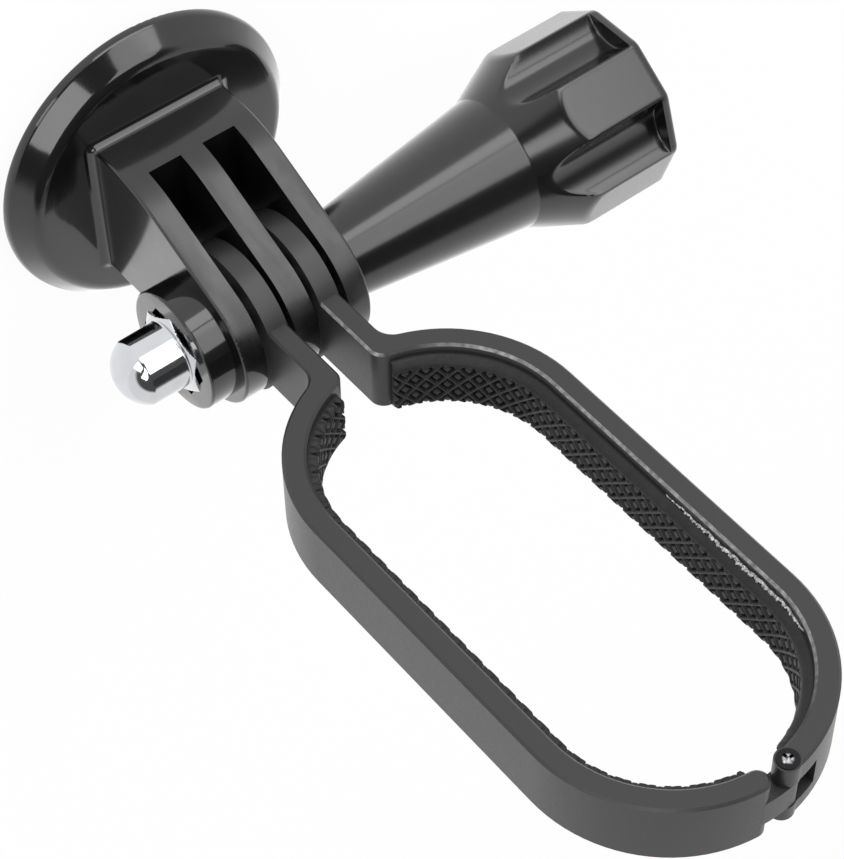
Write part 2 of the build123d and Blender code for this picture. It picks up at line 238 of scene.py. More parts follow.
def within(nodes, links, value, limits):
    """Fades a value out where a limit's source is short of its start, and keeps it whole past its stop."""
    for source, start, stop in limits:
        limit, product = nodes.new("ShaderNodeMapRange"), nodes.new("ShaderNodeMath")
        limit.inputs["From Min"].default_value = start
        limit.inputs["From Max"].default_value = stop
        product.operation = "MULTIPLY"
        links.new(source, limit.inputs["Value"])
        links.new(limit.outputs["Result"], product.inputs[0])
        links.new(value, product.inputs[1])
        value = product.outputs[0]
    return value


def moulded_black(name, colour, coat_roughness):
    """Injection-moulded black whose barely rippled skin has a clear gloss over it."""
    mat, nodes, links, bsdf = shader(name)
    tint(nodes, links, bsdf, grain(nodes, links, 0.3), colour, 0.15)
    roughen(nodes, links, bsdf, grain(nodes, links, 0.22, 6), 0.24, 0.34)
    emboss(nodes, links, bsdf, grain(nodes, links, 0.35, 2), 0.03, 0.35)
    bsdf.inputs["Specular IOR Level"].default_value = 0.06
    bsdf.inputs["Coat Weight"].default_value = 1.0
    bsdf.inputs["Coat IOR"].default_value = 1.5
    bsdf.inputs["Coat Roughness"].default_value = coat_roughness
    return mat, nodes, links, bsdf


def satin_plastic(colour):
    """Moulded black of the knob, slightly duller than the base."""
    return moulded_black("moulded_satin_black", colour, 0.17)[0]


def gloss_plastic(colour):
    """Moulded black of the base, glossy all over but hazy on the front of the fork's fingers."""
    gloss = 0.09
    mat, nodes, links, bsdf = moulded_black("moulded_gloss_black", colour, gloss)
    here, facing = place_and_facing(nodes, links)
    haze = spread(nodes, links, grain(nodes, links, 0.5, 5, (1, 0.3, 0.3)), 0.12, 0.38)
    haze = within(nodes, links, haze, (
        (here["X"], FORK_HALF + 0.1 * MM, FORK_HALF), (here["X"], -FORK_HALF - 0.1 * MM, -FORK_HALF),
        (here["Z"], SLOT_FLOOR - 2 * MM, SLOT_FLOOR + 1 * MM), (facing["Y"], 0.1, 0.3)))
    total = nodes.new("ShaderNodeMath")
    total.inputs[1].default_value = gloss
    links.new(haze, total.inputs[0])
    links.new(total.outputs[0], bsdf.inputs["Coat Roughness"])
    return mat


def anodised(colour):
    """Fine blasted and black anodised aluminium, with a painted highlight along the right arm's inner bevel.
    """
    mat, nodes, links, bsdf = shader("anodised_satin_black")
    roughen(nodes, links, bsdf, grain(nodes, links, 5, 3), 0.38, 0.46)
    emboss(nodes, links, bsdf, grain(nodes, links, 8, 2), 0.012, 0.5)
    bsdf.inputs["Metallic"].default_value = 0.3
    here, facing = place_and_facing(nodes, links)
    # painted highlight: the right arm's inner bevel, found by the way it faces, is coloured lighter in an
    # uneven streak
    bright_mask = spread(nodes, links, grain(nodes, links, 1.5, 4), 0.2, 1.0)
    bright_mask = within(nodes, links, bright_mask, (
        (here["X"], 0.5 * MM, 1.5 * MM), (facing["X"], -0.3, -0.6),
        (facing["Y"], 0.5, 0.6), (facing["Y"], 0.9, 0.8)))
    two_colours(nodes, links, bsdf, bright_mask, colour, BEVEL_HIGHLIGHT)
    return mat


def rubber(colour):
    """Matt liner rubber with a dusty, slightly grained face."""
    mat, nodes, links, bsdf = shader("liner_rubber")
    tint(nodes, links, bsdf, grain(nodes, links, 0.8, 5), colour, 0.35)
    roughen(nodes, links, bsdf, grain(nodes, links, 2.5, 4), 0.5, 0.65)
    bsdf.inputs["Specular IOR Level"].default_value = 0.35
    emboss(nodes, links, bsdf, grain(nodes, links, 6, 3), 0.03, 0.6)
    return mat


def chrome_plate(colour):
    """Bright plating over polished steel."""
    mat, nodes, links, bsdf = shader("chrome_plate")
    tint(nodes, links, bsdf, grain(nodes, links, 0.5, 2), colour, 0.04)
    roughen(nodes, links, bsdf, grain(nodes, links, 0.6, 5), 0.04, 0.1)
    emboss(nodes, links, bsdf, grain(nodes, links, 0.5, 2), 0.02, 0.25)
    bsdf.inputs["Metallic"].default_value = 1.0
    return mat


def turned_steel(colour):
    """Zinc-plated steel with fine turning lines across the bolt axis."""
    mat, nodes, links, bsdf = shader("turned_steel")
    tint(nodes, links, bsdf, grain(nodes, links, 0.7, 4), colour, 0.15)
    roughen(nodes, links, bsdf, grain(nodes, links, 1.5, 4), 0.25, 0.4)
    emboss(nodes, links, bsdf, grain(nodes, links, 4, 1, (4, 0.2, 0.2)), 0.02, 0.4)
    bsdf.inputs["Metallic"].default_value = 1.0
    return mat


def recessed_screw(colour):
    """Blackened screw head whose cross recess is worn bright."""
    mat, nodes, links, bsdf = shader("recessed_screw")
    place = nodes.new("ShaderNodeTexCoord")
    offset = nodes.new("ShaderNodeVectorMath")
    offset.operation = "SUBTRACT"
    offset.inputs[1].default_value = HINGE
    flatten = nodes.new("ShaderNodeVectorMath")
    flatten.operation = "MULTIPLY"
    flatten.inputs[1].default_value = (1, 0, 1)
    distance = nodes.new("ShaderNodeVectorMath")
    distance.operation = "LENGTH"
    links.new(place.outputs["Object"], offset.inputs[0])
    links.new(offset.outputs[0], flatten.inputs[0])
    links.new(flatten.outputs[0], distance.inputs[0])
    bright_mask = nodes.new("ShaderNodeMapRange")
    bright_mask.inputs["From Min"].default_value = 0.55 * MM
    bright_mask.inputs["From Max"].default_value = 0.3 * MM
    links.new(distance.outputs["Value"], bright_mask.inputs["Value"])
    two_colours(nodes, links, bsdf, bright_mask.outputs["Result"], BLACKENED, colour)
    roughen(nodes, links, bsdf, grain(nodes, links, 3, 4), 0.25, 0.4)
    bsdf.inputs["Metallic"].default_value = 1.0
    return mat


def pad_foam(colour):
    """Closed-cell foam tape with open pores on its edge."""
    mat, nodes, links, bsdf = shader("pad_foam")
    tint(nodes, links, bsdf, grain(nodes, links, 2, 4), colour, 0.3)
    emboss(nodes, links, bsdf, grain(nodes, links, 5, 3), 0.08, 0.8)
    bsdf.inputs["Roughness"].default_value = 0.9
    return mat


# ------------------------------------------------------------------ mesh helpers
def mesh_object(name, verts, faces, material):
    """Object at the origin from points and faces, with one material."""
    mesh = bpy.data.meshes.new(name)
    mesh.from_pydata(verts, [], faces)
    mesh.validate()
    return finish_mesh(name, mesh, material, radians(32))


def finish_mesh(name, mesh, material, smooth_angle):
    """Links a mesh as an object, shades it smooth up to an angle and gives it its material."""
    mesh.materials.clear()
    mesh.materials.append(material)
    for polygon in mesh.polygons:
        polygon.material_index = 0
    mesh.shade_smooth()
    mesh.set_sharp_from_angle(angle=smooth_angle)
    obj = bpy.data.objects.new(name, mesh)
    bpy.context.scene.collection.objects.link(obj)
    return obj


def flatten_shading(obj):
    """Weighted normals, so that flat faces stay flat beside their rounded edges."""
    modifier = obj.modifiers.new("weighted", "WEIGHTED_NORMAL")
    modifier.keep_sharp = True
    modifier.weight = 100


def smooth_copy(node, material):
    """Merged copy of a CAD node's mesh that shades smoothly, standing for that node."""
    mesh = frame["nodes"][node].data.copy()
    bm = bmesh.new()
    bm.from_mesh(mesh)
    bmesh.ops.remove_doubles(bm, verts=bm.verts, dist=1e-6)
    bm.to_mesh(mesh)
    bm.free()
    for name in [a.name for a in mesh.attributes if a.name in ("custom_normal", "sharp_edge", "sharp_face")]:
        mesh.attributes.remove(mesh.attributes[name])
    obj = finish_mesh(node + "_skin", mesh, material, radians(28))
    flatten_shading(obj)
    return obj


def lathe_grid(name, stations, reach, around, material):
    """Closed skin about the bolt axis: reach(angle, x, limit) gives the radius at each (x, limit) station,
    with the stations in order along +X."""
    verts, faces = [], []
    for x, limit in stations:
        for k in range(around):
            angle = 2 * pi * k / around
            r = reach(angle, x, limit)
            verts.append((x, BOLT_AXIS.y + r * cos(angle), BOLT_AXIS.z + r * sin(angle)))
    for i in range(len(stations) - 1):
        for k in range(around):
            a, b = i * around + k, i * around + (k + 1) % around
            faces.append((a, b, b + around, a + around))
    faces.append(tuple(range(around - 1, -1, -1)))
    last = (len(stations) - 1) * around
    faces.append(tuple(range(last, last + around)))
    return mesh_object(name, verts, faces, material)


# ------------------------------------------------------------------ cap nut
def cap_nut(sizes, material):
    """Hexagon with a turned chamfer, and a collar under a low dome."""
    seat, tip = NUT_HIGH.x, NUT_LOW.x
    collar, half = sizes.nut_collar_radius, sizes.nut_flats / 2
    corner = half / cos(pi / 6)
    hex_end = seat - sizes.nut_hex_height
    face_radius = half * 0.97
    drop = (corner - face_radius) * tan(pi / 6)
    neck, edge, tiny = 0.2 * MM, 0.12 * MM, 0.01 * MM
    collar_end = tip + sizes.nut_dome_height
    sphere = (collar**2 + sizes.nut_dome_height**2) / (2 * sizes.nut_dome_height)
    opening = asin(collar / sphere)

    stations = []
    for i in range(32):
        turn = opening * (0.01 + 0.97 * i / 31)
        stations.append((tip + sphere * (1 - cos(turn)), sphere * sin(turn)))
    stations += [(collar_end, collar - 2 * tiny), (collar_end + edge, collar)]
    for i in range(5):
        turn = pi / 2 * i / 4
        stations.append((hex_end - neck + (neck - tiny) * sin(turn), collar + neck * (1 - cos(turn))))
    for i in range(9):
        stations.append((hex_end + drop * i / 8, face_radius + (corner - face_radius) * i / 8))
    stations += [(seat - 0.15 * MM, corner), (seat, corner * 0.985)]

    def reach(angle, x, limit):
        if x < hex_end - tiny / 2:
            return limit
        turn = (angle - pi / 2) % (pi / 3) - pi / 6
        return min(limit, half / cos(pi / 6 - abs(turn)))

    return lathe_grid("cap_nut_plated", stations, reach, 240, material)


# ------------------------------------------------------------------ thumb knob
def soft_min(a, b, rounding):
    """Smaller of two radii, with the corner between them rounded off."""
    gap = max(rounding - abs(a - b), 0) / rounding
    return min(a, b) - gap * gap * rounding / 4


def thumb_knob(sizes, material):
    """Conical shank, flare and a head with a flat for each lobe and flute, closed behind its flutes."""
    seat, end = KNOB_LOW.x, KNOB_HIGH.x
    head = KNOB_HIGH.z - BOLT_AXIS.z
    neck = seat + sizes.knob_shank_length
    shoulder = neck + sizes.knob_flare_length
    flute_end = end - sizes.flange_thickness
    rounding, lip, edge = 0.3 * MM, 0.25 * MM, 0.7 * MM
    seat_edge, tiny = 0.2 * MM, 0.01 * MM

    half = pi / 2 / sizes.lobe_count
    flat = head * cos(half)
    floor = head - sizes.flute_depth
    chord, height = head * sin(half), flat - floor
    cutter = (chord**2 + height**2) / (2 * height)
    cutter_centre = floor + cutter

    def cone(x):
        if x < neck:
            start, stop, first, last = seat, neck, sizes.knob_seat_radius, sizes.knob_neck_radius
        else:
            start, stop, first, last = neck, shoulder, sizes.knob_neck_radius, head
        return first + (last - first) * (x - start) / (stop - start)

    def flats(angle, inset):
        turn = abs((angle + half) % (2 * half) - half)
        return soft_min((flat - inset) / cos(turn), (flat - inset) / cos(2 * half - turn), rounding)

    def flute(angle):
        turn = (angle + 2 * half) % (4 * half) - 2 * half
        inside = cutter**2 - (cutter_centre * sin(turn))**2
        return cutter_centre * cos(turn) - sqrt(inside) if inside > 0 else cutter_centre

    def reach(angle, x, inset):
        radius = soft_min(cone(x) - inset, flats(angle, inset), rounding)
        if neck < x < flute_end + tiny / 2:
            rise = max(0, (x - (flute_end - lip)) / lip)
            radius = soft_min(radius, flute(angle) + lip * (1 - sqrt(max(0, 1 - rise * rise))), rounding)
        return radius

    stations = [(seat, seat_edge), (seat + 0.3 * seat_edge, 0.3 * seat_edge)]
    stations += [(seat + seat_edge + (neck - seat - seat_edge) * i / 30, 0) for i in range(30)]
    stations += [(neck - 0.08 * MM, 0)]
    stations += [(neck + (shoulder - neck) * i / 56, 0) for i in range(57)]
    stations += [(shoulder + (flute_end - lip - shoulder) * i / 12, 0) for i in range(1, 13)]
    stations += [(flute_end - lip + lip * sin(pi / 2 * i / 5), 0) for i in range(1, 6)]
    stations += [(flute_end + tiny, 0), (end - edge, 0)]
    for i in range(1, 7):
        turn = pi / 2 * i / 6
        stations.append((end - edge + edge * sin(turn), edge * (1 - cos(turn))))
    return lathe_grid("thumb_knob_moulded", stations, reach, 480, material)


# ------------------------------------------------------------------ rubber liners
def ring_wall_path(side):
    """Line along the inside of the ring's wall on one side, with the opening always on its left."""
    near_x, far_x = LINER_ENDS[side]
    middle_radius = (RING_RADIUS + WALL_RADIUS) / 2
    far_z = HINGE.z - sqrt(middle_radius**2 - HINGE.x**2)
    near_z = far_z - RING_STRAIGHT
    start, stop = asin(near_x / WALL_RADIUS), asin(far_x / WALL_RADIUS)
    steps = 40
    points = []
    for i in range(steps + 1):
        turn = start + (pi / 2 - start) * i / steps
        points.append((WALL_RADIUS * sin(turn), near_z - WALL_RADIUS * cos(turn)))
    for i in range(steps + 1):
        turn = pi / 2 + (pi / 2 - stop) * i / steps
        points.append((WALL_RADIUS * sin(turn), far_z - WALL_RADIUS * cos(turn)))
    if side == "right":
        return [(x, BOLT_AXIS.y, z) for x, z in points]
    return [(-x, BOLT_AXIS.y, z) for x, z in reversed(points)]


class TreeMaker:
    """Short spellings for the nodes and links of one geometry tree."""

    def __init__(self, name):
        self.tree = bpy.data.node_groups.new(name, "GeometryNodeTree")

    def node(self, kind, **settings):
        node = self.tree.nodes.new(kind)
        for key, value in settings.items():
            setattr(node, key, value)
        return node

    def feed(self, node, **inputs):
        """Sets inputs by name, where a socket is linked and anything else is a value."""
        for key, value in inputs.items():
            target = node.inputs[int(key[1:])] if key[0] == "i" and key[1:].isdigit() else node.inputs[key]
            if isinstance(value, bpy.types.NodeSocket):
                self.tree.links.new(value, target)
            else:
                target.default_value = value
        return node

    def math(self, operation, a, b=0.0, c=0.0):
        node = self.node("ShaderNodeMath", operation=operation)
        return self.feed(node, i0=a, i1=b, i2=c).outputs[0]

    def vector(self, operation, a, b=(0, 0, 0), scale=None):
        node = self.node("ShaderNodeVectorMath", operation=operation)
        self.feed(node, i0=a, i1=b)
        if scale is not None:
            self.feed(node, Scale=scale)
        return node.outputs[0]

    def ramp(self, value, start, stop, low, high, kind="SMOOTHSTEP"):
        """Runs from low at start to high at stop, and stays there on both sides."""
        node = self.node("ShaderNodeMapRange", interpolation_type=kind)
        return self.feed(node, i0=value, i1=start, i2=stop, i3=low, i4=high).outputs[0]

    def combine(self, x=0.0, y=0.0, z=0.0):
        return self.feed(self.node("ShaderNodeCombineXYZ"), X=x, Y=y, Z=z).outputs[0]

    def split(self, vector):
        return self.feed(self.node("ShaderNodeSeparateXYZ"), Vector=vector).outputs

    def shift(self, geometry, offset):
        node = self.node("GeometryNodeSetPosition")
        return self.feed(node, Geometry=geometry, Offset=offset).outputs[0]


def flat_strip(make, given, length):
    """Flat strip whose cells divide each ridge pitch evenly both ways, with its true pitch and its width."""
    cells = 20
    pitches = make.math("ROUND", make.math("DIVIDE", length, given["Ridge Pitch"]))
    pitch = make.math("DIVIDE", length, pitches)
    width = make.math("SUBTRACT", given["High Edge"], given["Low Edge"])
    columns = make.math("MULTIPLY", pitches, cells)
    rows = make.math("ROUND", make.math("DIVIDE", make.math("MULTIPLY", width, cells), pitch))
    block = make.feed(
        make.node("GeometryNodeMeshCube"), Size=make.combine(length, width, given["Thickness"]),
        **{"Vertices X": make.math("ADD", columns, 1.0), "Vertices Y": make.math("ADD", rows, 1.0),
           "Vertices Z": 2})
    middle = make.combine(
        make.math("MULTIPLY", length, 0.5), make.math("MULTIPLY_ADD", width, 0.5, given["Low Edge"]),
        make.math("MULTIPLY", given["Thickness"], 0.5))
    return make.shift(block.outputs["Mesh"], middle), pitch, width


def knurl(make, given, pitch, x, across):
    """1 on the ridges that slant either way, nearly 1 on the lozenges between them and 0 in the grooves."""
    lozenge_height, lozenge_flank = 0.85, 0.16 * MM
    offset = make.math("MULTIPLY_ADD", pitch, 0.25, across)
    from_ridge = []
    for lean in (1.0, -1.0):
        phase = make.math("FRACT", make.math("DIVIDE", make.math("MULTIPLY_ADD", offset, lean, x), pitch))
        off_centre = make.math("ABSOLUTE", make.math("SUBTRACT", phase, 0.5))
        from_ridge.append(make.math("MULTIPLY", make.math("MULTIPLY", off_centre, pitch), sqrt(0.5)))
    nearest = make.math("MINIMUM", *from_ridge)
    half_top = make.math("MULTIPLY", given["Ridge Top"], 0.5)
    ridge = make.ramp(nearest, half_top, make.math("ADD", half_top, given["Ridge Flank"]), 1.0, 0.0)
    from_middle = make.math("SUBTRACT", make.math("MULTIPLY", pitch, 0.5 * sqrt(0.5)), nearest)
    half_lozenge = make.math("MULTIPLY", given["Lozenge Width"], 0.5)
    lozenge_foot = make.math("ADD", half_lozenge, lozenge_flank)
    lozenge = make.ramp(from_middle, half_lozenge, lozenge_foot, lozenge_height, 0.0)
    return make.math("MAXIMUM", ridge, lozenge)


def face_drop(make, given, length, pitch, width, x, y):
    """How far the liner's face lies below its full thickness."""
    step_width, step_drop = 0.15 * MM, 0.08 * MM        # where the knurl meets the smooth margin
    edge_width, edge_drop = 0.85 * MM, 0.3 * MM         # round of the knurled edge
    end_width, end_drop = 0.3 * MM, 0.2 * MM            # round of the strip's two ends
    from_low = make.math("SUBTRACT", y, given["Low Edge"])
    change = make.math("SUBTRACT", make.math("SUBTRACT", width, from_low), from_low)
    across = make.math("MULTIPLY_ADD", given["Turned Round"], change, from_low)
    margin_start = make.math("SUBTRACT", width, given["Margin"])
    margin = make.ramp(across, make.math("SUBTRACT", margin_start, step_width), margin_start, 0.0, 1.0)
    raised = make.math("MAXIMUM", knurl(make, given, pitch, x, across), margin)
    slope = make.math("POWER", make.ramp(across, margin_start, width, 0.0, 1.0, "LINEAR"), 1.7)
    bend = make.math("POWER", make.ramp(across, 0.0, edge_width, 1.0, 0.0, "LINEAR"), 2.0)
    drop = make.math("MULTIPLY", slope, make.math("SUBTRACT", given["Thickness"], given["Edge Thickness"]))
    for more in (
            make.math("MULTIPLY", make.math("SUBTRACT", 1.0, raised), given["Pit Depth"]),
            make.math("MULTIPLY", margin, step_drop), make.math("MULTIPLY", bend, edge_drop),
            make.ramp(x, 0.0, end_width, end_drop, 0.0),
            make.ramp(make.math("SUBTRACT", length, x), 0.0, end_width, end_drop, 0.0)):
        drop = make.math("ADD", drop, more)
    return drop


def bend_along(make, strip, line, length, x, y, z):
    """Strip bent along a line: x runs along it, y across it and z towards the opening."""
    sample = make.feed(
        make.node("GeometryNodeSampleCurve", mode="LENGTH", use_all_curves=True),
        Curves=line, Length=make.math("MINIMUM", make.math("MAXIMUM", x, 0.0), length))
    inward = make.vector("NORMALIZE", make.vector("CROSS_PRODUCT", sample.outputs["Tangent"], (0, 1, 0)))
    place = make.vector("ADD", sample.outputs["Position"], make.vector("SCALE", inward, scale=z))
    place = make.vector("ADD", place, make.combine(y=y))
    return make.feed(make.node("GeometryNodeSetPosition"), Geometry=strip, Position=place).outputs[0]


def knurl_tree():
    """Liner with crossing slanted ridges and a smooth margin, made flat and bent along the wall's line."""
    thinnest = 0.15 * MM
    make = TreeMaker("knurled_liner")
    tree = make.tree
    lengths = ("Ridge Pitch", "Ridge Top", "Ridge Flank", "Lozenge Width", "Pit Depth", "Thickness",
               "Edge Thickness", "Low Edge", "High Edge", "Margin", "Turned Round")
    kinds = {"Wall Line": "NodeSocketGeometry", **dict.fromkeys(lengths, "NodeSocketFloat"),
             "Rubber": "NodeSocketMaterial"}
    for name, kind in kinds.items():
        tree.interface.new_socket(name=name, in_out="INPUT", socket_type=kind)
    tree.interface.new_socket(name="Liner", in_out="OUTPUT", socket_type="NodeSocketGeometry")
    given = make.node("NodeGroupInput").outputs
    length = make.feed(make.node("GeometryNodeCurveLength"), Curve=given["Wall Line"]).outputs[0]
    x, y, z = make.split(make.node("GeometryNodeInputPosition").outputs[0])

    strip, pitch, width = flat_strip(make, given, length)
    drop = face_drop(make, given, length, pitch, width, x, y)
    top = make.math("MAXIMUM", make.math("SUBTRACT", given["Thickness"], drop), thinnest)
    upper = make.math("GREATER_THAN", z, make.math("MULTIPLY", given["Thickness"], 0.5))
    change = make.math("MULTIPLY", make.math("SUBTRACT", top, given["Thickness"]), upper)
    shaped = make.shift(strip, make.combine(z=change))
    bent = bend_along(make, shaped, given["Wall Line"], length, x, y, z)

    real = make.feed(make.node("GeometryNodeRealizeInstances"), Geometry=bent)
    dressed = make.feed(
        make.node("GeometryNodeSetMaterial"), Geometry=real.outputs[0], Material=given["Rubber"])
    tree.links.new(dressed.outputs[0], make.node("NodeGroupOutput").inputs[0])
    return tree


def run_tree(name, tree, points, inputs):
    """Runs a geometry tree on a line of points and returns its result as a plain mesh object."""
    curve = bpy.data.curves.new(name + "_line", "CURVE")
    curve.dimensions = "3D"
    spline = curve.splines.new("POLY")
    spline.points.add(len(points) - 1)
    for point, place in zip(spline.points, points):
        point.co = (*place, 1)
    line = bpy.data.objects.new(name + "_line", curve)
    bpy.context.scene.collection.objects.link(line)
    modifier = line.modifiers.new("tree", "NODES")
    modifier.node_group = tree
    for item in tree.interface.items_tree:
        if item.item_type == "SOCKET" and item.in_out == "INPUT" and item.name in inputs:
            modifier[item.identifier] = inputs[item.name]
    evaluated = line.evaluated_get(bpy.context.evaluated_depsgraph_get())
    mesh = bpy.data.meshes.new_from_object(evaluated)
    mesh.name = name
    bpy.data.objects.remove(line)
    bpy.data.curves.remove(curve)
    obj = bpy.data.objects.new(name, mesh)
    bpy.context.scene.collection.objects.link(obj)
    return obj


def dried_glue():
    """Whitish dried glue that glitters on its grainy skin."""
    mat, nodes, links, bsdf = shader("dried_glue")
    tint(nodes, links, bsdf, grain(nodes, links, 4, 2), GLUE_WHITE, 0.85)
    roughen(nodes, links, bsdf, grain(nodes, links, 5, 2), 0.2, 0.5)
    emboss(nodes, links, bsdf, grain(nodes, links, 6, 2), 0.06, 1.0)
    return mat


def point_at_height(points, z):
    """Point at a height on a line that rises."""
    above = next(k for k, point in enumerate(points) if point[2] >= z)
    before, after = Vector(points[above - 1]), Vector(points[above])
    return before.lerp(after, (z - before.z) / (after.z - before.z))


def squeeze_out(liner, points):
    """Adds the thin, uneven line of glue that was pressed out along the liner's front edge."""
    steps, around = 150, 7
    lift = 0.9                          # of the line's middle above the wall, in radii
    start_z, stop_z = GLUE_SPAN
    turns = [2 * pi * k / around for k in range(around)]
    mesh = liner.data
    bm = bmesh.new()
    bm.from_mesh(mesh)
    rings = []
    for i in range(steps + 1):
        share = i / steps
        z = start_z + (stop_z - start_z) * share
        spot, wave = point_at_height(points, z), z / MM
        bulk = 0.15 + 0.1 * share + 0.05 * sin(7.3 * wave) + 0.04 * sin(17.1 * wave + 1)
        radius = bulk * sqrt(sin(pi * (0.03 + 0.94 * share))) * MM
        middle = LINER_HIGH.y + (0.12 + 0.09 * sin(1.9 * wave) + 0.06 * sin(5.3 * wave)) * MM
        rings.append([
            bm.verts.new((spot.x - (lift + cos(turn)) * radius, middle + sin(turn) * radius, spot.z))
            for turn in turns])
    faces = [bm.faces.new(rings[0]), bm.faces.new(rings[-1])]
    for a, b in zip(rings, rings[1:]):
        for k in range(around):
            faces.append(bm.faces.new((a[k], a[(k + 1) % around], b[(k + 1) % around], b[k])))
    bmesh.ops.recalc_face_normals(bm, faces=faces)
    for face in faces:
        face.material_index = len(mesh.materials)
    bm.to_mesh(mesh)
    bm.free()
    mesh.materials.append(dried_glue())


def knurled_liner(side, tree, sizes, material):
    """Rubber strip with diamond ridges, glued inside one arm; the left one is turned end for end."""
    points = ring_wall_path(side)
    obj = run_tree("liner_" + side + "_knurled", tree, points, {
        "Ridge Pitch": sizes.ridge_pitch, "Ridge Top": sizes.ridge_top, "Ridge Flank": sizes.ridge_flank,
        "Lozenge Width": sizes.lozenge_width, "Pit Depth": sizes.pit_depth,
        "Thickness": LINER_THICKNESS, "Edge Thickness": LINER_EDGE_THICKNESS,
        "Low Edge": LINER_LOW.y - BOLT_AXIS.y, "High Edge": LINER_HIGH.y - BOLT_AXIS.y,
        "Margin": sizes.margin_width, "Turned Round": float(side == "left"), "Rubber": material})
    if side == "right":
        squeeze_out(obj, points)
    obj.data.shade_smooth()
    obj.data.set_sharp_from_angle(angle=radians(60))
    return obj


# ------------------------------------------------------------------ stage
def camera():
    """Long-lens camera at the reference viewing angle."""
    data = bpy.data.cameras.new("camera")
    data.lens = 117.0
    data.sensor_width = 36.0
    data.clip_start, data.clip_end = 0.01, 20
    obj = bpy.data.objects.new("camera", data)
    forward = Vector((0.3886, -0.7720, -0.5031)).normalized()
    right = Vector((0.7818, -0.0128, 0.6234))
    right = (right - forward * right.dot(forward)).normalized()
    up = right.cross(forward)
    turn = Matrix((right, up, -forward)).transposed().to_4x4()
    place = Vector((-99.31, 195.66, 173.72)) * MM
    obj.matrix_world = Matrix.Translation(place) @ turn
    bpy.context.scene.collection.objects.link(obj)
    bpy.context.scene.camera = obj


def area_lamp(name, direction, size, radiance):
    """Soft box that faces the middle of the clamp, as bright as its radiance wherever it is mirrored."""
    data = bpy.data.lights.new(name, "AREA")
    data.shape = "RECTANGLE"
    data.size, data.size_y = size
    data.energy = radiance * pi * size[0] * size[1]
    obj = bpy.data.objects.new(name, data)
    away = Vector(direction).normalized()
    obj.location = LAMP_AIM + away * LAMP_DISTANCE
    obj.rotation_mode = "QUATERNION"
    obj.rotation_quaternion = (-away).to_track_quat("-Z", "Y")
    bpy.context.scene.collection.objects.link(obj)


def studio_world():
    """White surroundings with a dim ceiling; plain white where the camera sees them."""
    world = bpy.data.worlds.new("studio")
    world.use_nodes = True
    nodes, links = world.node_tree.nodes, world.node_tree.links
    glow = nodes["Background"]
    glow.inputs["Color"].default_value = (1, 1, 1, 1)
    place = nodes.new("ShaderNodeTexCoord")
    towards = nodes.new("ShaderNodeVectorMath")
    towards.operation = "DOT_PRODUCT"
    towards.inputs[1].default_value = Vector((-0.3, 0.3, 0.9)).normalized()
    share = nodes.new("ShaderNodeMapRange")
    share.interpolation_type = "SMOOTHSTEP"
    share.inputs["From Min"].default_value = cos(radians(57))
    share.inputs["From Max"].default_value = cos(radians(47))
    strength = nodes.new("ShaderNodeMix")
    strength.inputs["A"].default_value = 1.25
    strength.inputs["B"].default_value = 0.12
    links.new(place.outputs["Generated"], towards.inputs[0])
    links.new(towards.outputs["Value"], share.inputs["Value"])
    links.new(share.outputs["Result"], strength.inputs["Factor"])
    links.new(strength.outputs["Result"], glow.inputs["Strength"])
    white = nodes.new("ShaderNodeBackground")
    white.inputs["Strength"].default_value = 1.0
    rays = nodes.new("ShaderNodeLightPath")
    mix = nodes.new("ShaderNodeMixShader")
    links.new(rays.outputs["Is Camera Ray"], mix.inputs["Fac"])
    links.new(glow.outputs[0], mix.inputs[1])
    links.new(white.outputs[0], mix.inputs[2])
    links.new(mix.outputs[0], nodes["World Output"].inputs["Surface"])
    bpy.context.scene.world = world


def floor_material(colour):
    """Pale floor that reads white to the camera and keeps a soft shadow."""
    mat, nodes, links, bsdf = shader("studio_floor")
    bsdf.inputs["Base Color"].default_value = (*colour, 1)
    bsdf.inputs["Roughness"].default_value = 0.9
    bsdf.inputs["Specular IOR Level"].default_value = 0.1
    white = nodes.new("ShaderNodeEmission")
    rays = nodes.new("ShaderNodeLightPath")
    strength, share = nodes.new("ShaderNodeMath"), nodes.new("ShaderNodeMath")
    strength.operation = share.operation = "MULTIPLY_ADD"
    strength.inputs[1].default_value = 0.4
    strength.inputs[2].default_value = 1.0
    share.inputs[1].default_value = 0.94
    links.new(rays.outputs["Is Glossy Ray"], strength.inputs[0])
    links.new(rays.outputs["Is Camera Ray"], share.inputs[0])
    links.new(rays.outputs["Is Glossy Ray"], share.inputs[2])
    links.new(strength.outputs[0], white.inputs["Strength"])
    mix = nodes.new("ShaderNodeMixShader")
    links.new(share.outputs[0], mix.inputs["Fac"])
    links.new(bsdf.outputs[0], mix.inputs[1])
    links.new(white.outputs[0], mix.inputs[2])
    links.new(mix.outputs[0], nodes["Material Output"].inputs["Surface"])
    return mat


def build_stage(colours):
    """Floor, soft boxes, world and camera."""
    size = 3.0
    corners = [(-size, -size, 0), (size, -size, 0), (size, size, 0), (-size, size, 0)]
    floor = mesh_object("studio_floor", corners, [(0, 1, 2, 3)], floor_material(colours.floor))
    area_lamp("low_front_box", (0.22, 0.95, 0.18), (0.64, 0.27), 4.0)
    area_lamp("high_front_box", (0.28, 0.69, 0.67), (0.43, 0.56), 3.6)
    area_lamp("left_box", (-0.75, 0.6, 0.22), (0.28, 0.32), 3.5)
    area_lamp("high_left_box", (-0.6, 0.465, 0.655), (0.62, 0.24), 5.2)
    studio_world()
    camera()
    bpy.context.scene.view_settings.view_transform = "Standard"


# ------------------------------------------------------------------ operators
def settings():
    """The scene's sizes and colours."""
    scene = bpy.context.scene
    return scene.ring_mount_sizes, scene.ring_mount_colours


class MESH_OT_ring_mount_stage(bpy.types.Operator):
    """Floor, lamps, world and camera"""

    bl_idname = "mesh.ring_mount_stage"
    bl_label = "Stage"

    def execute(self, context):
        build_stage(settings()[1])
        return {"FINISHED"}


